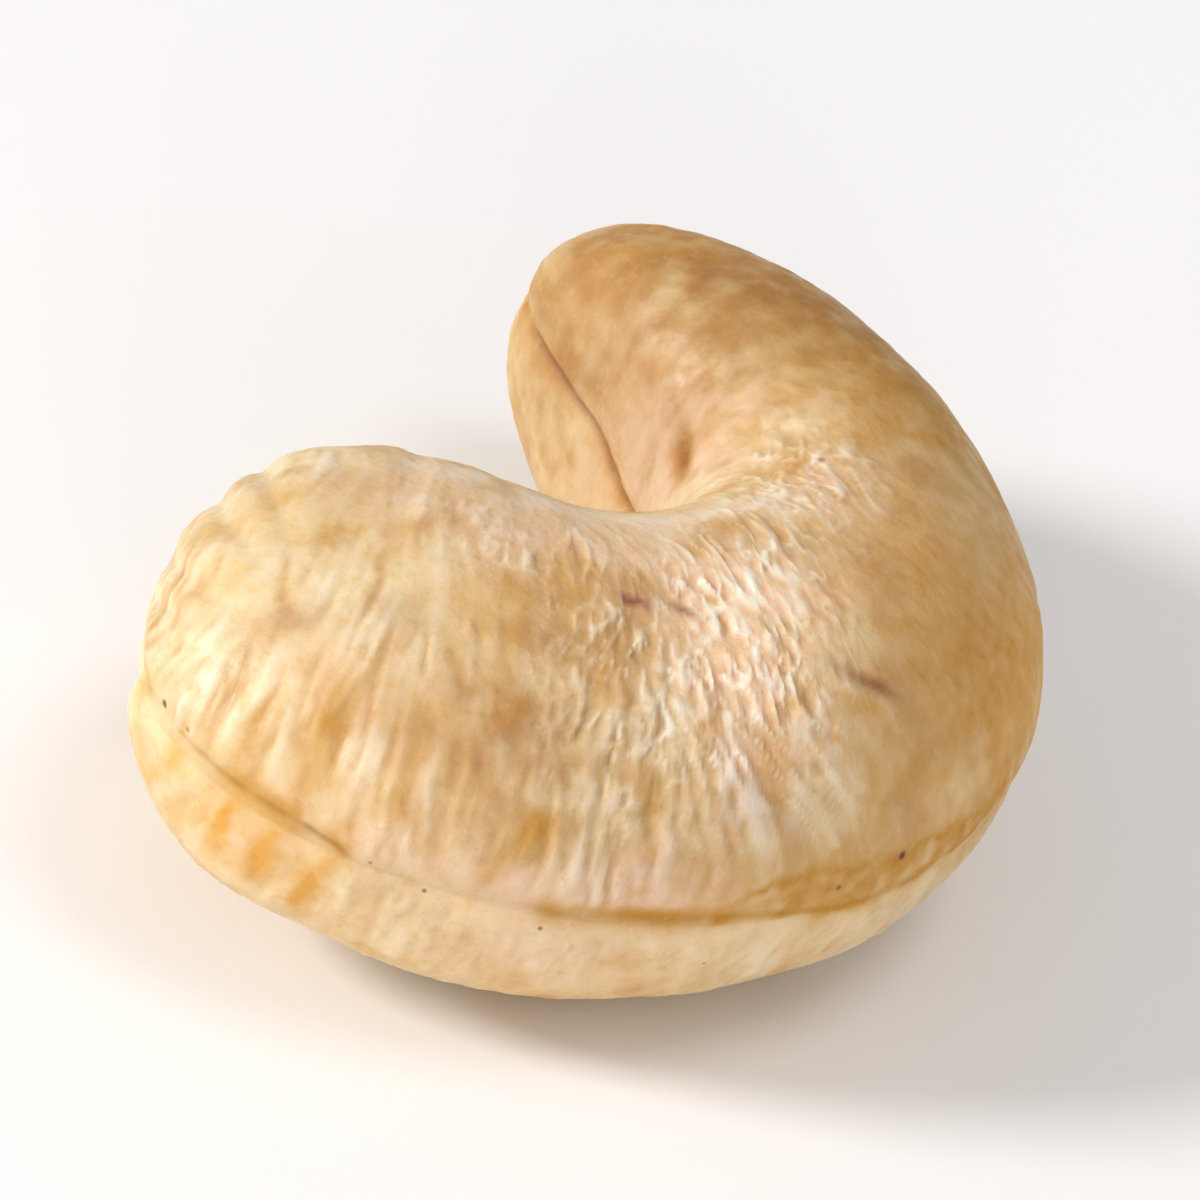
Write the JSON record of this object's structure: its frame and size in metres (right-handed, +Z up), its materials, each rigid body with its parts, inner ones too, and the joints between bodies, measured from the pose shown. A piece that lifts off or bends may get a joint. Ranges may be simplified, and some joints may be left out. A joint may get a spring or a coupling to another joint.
{
  "type": "cashew nut",
  "caption": "Shelled whole cashew kernel, a thick C-shaped seed with one fat and one slim lobe, a seam round its edge and fine cross wrinkles, lying on its side.",
  "frame": {"origin": "centre of the bounding box in X and Y, on the plane the kernel rests on", "axes": "+Z up, thinnest way through both seed halves; Y along the kernel's length, fat lobe at -Y; the crook opens to -X"},
  "size_m": [0.0174, 0.025, 0.0096],
  "materials": {
    "kernel": "waxy cream seed flesh, golden in the hollows, satin"
  },
  "bodies": {
    "root": {"cashew_kernel": "kernel"}
  },
  "joints": []
}
